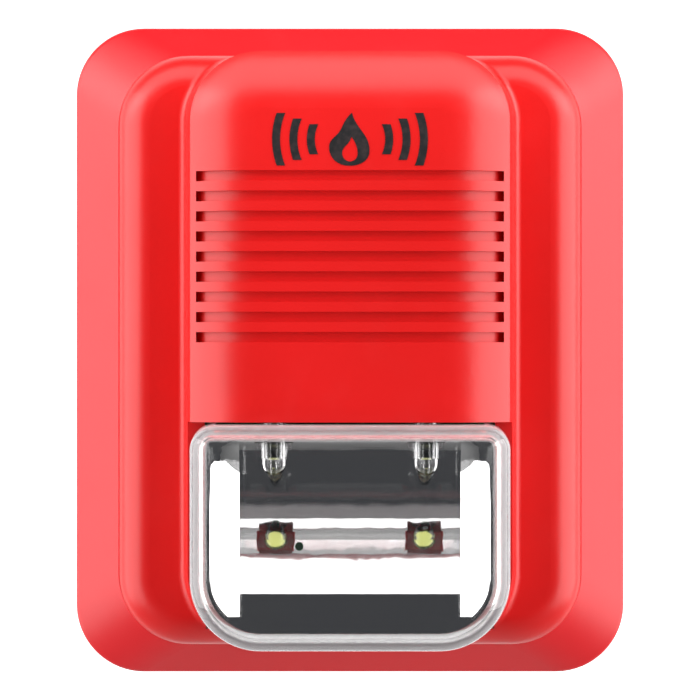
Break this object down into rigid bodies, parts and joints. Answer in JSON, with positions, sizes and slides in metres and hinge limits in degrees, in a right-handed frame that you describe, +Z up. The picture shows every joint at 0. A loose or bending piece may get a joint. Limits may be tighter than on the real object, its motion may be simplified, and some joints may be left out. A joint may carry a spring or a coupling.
{
  "type": "horn strobe",
  "caption": "Red wall-mounted fire alarm horn strobe: a ribbed head with a clear strobe lens plugs onto a flanged base plate.",
  "frame": {"origin": "on the wall plane, at the middle of the base plate's back", "axes": "+Y into the wall (the front faces -Y), +Z up, +X to the right as seen from the front"},
  "size_m": [0.122, 0.052, 0.1436],
  "materials": {
    "base_red_plastic": "satin red moulded ABS with a fine spark texture",
    "cover_red_plastic": "satin red moulded ABS",
    "lens_clear": "clear moulded polycarbonate, polished",
    "reflector_mirror": "vacuum-metallised plastic mirror",
    "led_epoxy": "clear epoxy",
    "led_collar_clear": "clear moulded plastic",
    "lead_tin": "tinned wire",
    "plated_steel": "zinc-plated steel",
    "clamp_steel": "yellow zinc-plated steel",
    "contact_brass": "rolled brass",
    "terminal_plastic": "green moulded nylon",
    "seal_rubber": "soft black rubber",
    "foam_black": "closed-cell black foam",
    "board_green": "glass-fibre board with green solder mask",
    "lead_red": "red wire insulation",
    "lead_black": "black wire insulation",
    "plug_nylon": "natural nylon",
    "switch_blue": "blue moulded plastic",
    "capacitor_sleeve": "dark shrink sleeve",
    "ferrite": "sintered ferrite",
    "copper_wire": "enamelled copper winding",
    "print_black": "pad-printed black ink",
    "phosphor_yellow": "yellow phosphor in clear resin",
    "chip_black": "moulded epoxy",
    "resistor_body": "lacquered film resistor",
    "horn_black": "black moulded ABS",
    "piezo_ceramic": "silvered ceramic"
  },
  "bodies": {
    "base": {"base_plate": "base_red_plastic", "terminal_housing": "terminal_plastic", "terminal_block_screws": "plated_steel", "contact_clips": "contact_brass"},
    "head": {"front_cover": "cover_red_plastic", "strobe_lens": "lens_clear", "lens_seal": "seal_rubber", "printed_sign": "print_black", "strobe_reflector": "reflector_mirror", "reflector_screws": "plated_steel", "led_left": "led_epoxy", "led_right": "led_epoxy", "led_leads": "lead_tin", "led_phosphors": "phosphor_yellow", "led_holder_left": "led_collar_clear", "led_holder_right": "led_collar_clear", "lamp_board": "board_green", "lamp_board_screws": "plated_steel", "lamp_lead_red": "lead_red", "lamp_lead_black": "lead_black", "lamp_plug": "plug_nylon", "lamp_socket": "plug_nylon", "main_circuit_board": "board_green", "board_screws": "plated_steel", "contact_pins": "contact_brass", "dip_switch_housing": "switch_blue", "capacitor": "capacitor_sleeve", "inductor_core": "ferrite", "inductor_winding": "copper_wire", "driver_chip": "chip_black", "transistor": "chip_black", "resistors": "resistor_body", "diodes": "chip_black", "horn_body": "horn_black", "horn_screws": "plated_steel", "horn_diaphragm": "contact_brass", "piezo_disc": "piezo_ceramic", "piezo_leads": "lead_red", "horn_gasket": "seal_rubber", "horn_back_cap": "horn_black", "horn_seal": "foam_black"},
    "terminal_screw_1": {"terminal_screw_1": "plated_steel"},
    "terminal_screw_2": {"terminal_screw_2": "plated_steel"},
    "terminal_screw_3": {"terminal_screw_3": "plated_steel"},
    "terminal_screw_4": {"terminal_screw_4": "plated_steel"},
    "wire_clamp_1": {"wire_clamp_1": "clamp_steel"},
    "wire_clamp_2": {"wire_clamp_2": "clamp_steel"},
    "wire_clamp_3": {"wire_clamp_3": "clamp_steel"},
    "wire_clamp_4": {"wire_clamp_4": "clamp_steel"},
    "dip_slider_1": {"dip_slider_1": "plug_nylon"},
    "dip_slider_2": {"dip_slider_2": "plug_nylon"}
  },
  "joints": [
    {"name": "head_pull_off", "type": "slide", "parent": "base", "child": "head", "axis": [0, -1, 0], "range_m": [0, 0.04]},
    {"name": "terminal_screw_1_turn", "type": "hinge", "parent": "base", "child": "terminal_screw_1", "pos_m": [-0.012, -0.01025, -0.00165], "axis": [0, 1, 0], "range_deg": [0, 1152.1]},
    {"name": "wire_clamp_1_lift", "type": "slide", "parent": "base", "child": "wire_clamp_1", "axis": [0, -1, 0], "range_m": [0, 0.0016]},
    {"name": "terminal_screw_2_turn", "type": "hinge", "parent": "base", "child": "terminal_screw_2", "pos_m": [-0.004, -0.01025, -0.00165], "axis": [0, 1, 0], "range_deg": [0, 1152.1]},
    {"name": "wire_clamp_2_lift", "type": "slide", "parent": "base", "child": "wire_clamp_2", "axis": [0, -1, 0], "range_m": [0, 0.0016]},
    {"name": "terminal_screw_3_turn", "type": "hinge", "parent": "base", "child": "terminal_screw_3", "pos_m": [0.004, -0.01025, -0.00165], "axis": [0, 1, 0], "range_deg": [0, 1152.1]},
    {"name": "wire_clamp_3_lift", "type": "slide", "parent": "base", "child": "wire_clamp_3", "axis": [0, -1, 0], "range_m": [0, 0.0016]},
    {"name": "terminal_screw_4_turn", "type": "hinge", "parent": "base", "child": "terminal_screw_4", "pos_m": [0.012, -0.01025, -0.00165], "axis": [0, 1, 0], "range_deg": [0, 1152.1]},
    {"name": "wire_clamp_4_lift", "type": "slide", "parent": "base", "child": "wire_clamp_4", "axis": [0, -1, 0], "range_m": [0, 0.0016]},
    {"name": "dip_slider_1_move", "type": "slide", "parent": "head", "child": "dip_slider_1", "axis": [0, 0, 1], "range_m": [0, 0.0016]},
    {"name": "dip_slider_2_move", "type": "slide", "parent": "head", "child": "dip_slider_2", "axis": [0, 0, 1], "range_m": [0, 0.0016]}
  ],
  "couplings": [
    {"joint": "terminal_screw_1_turn", "follows": "wire_clamp_1_lift", "rad_per_m": 12566},
    {"joint": "terminal_screw_2_turn", "follows": "wire_clamp_2_lift", "rad_per_m": 12566},
    {"joint": "terminal_screw_3_turn", "follows": "wire_clamp_3_lift", "rad_per_m": 12566},
    {"joint": "terminal_screw_4_turn", "follows": "wire_clamp_4_lift", "rad_per_m": 12566}
  ]
}
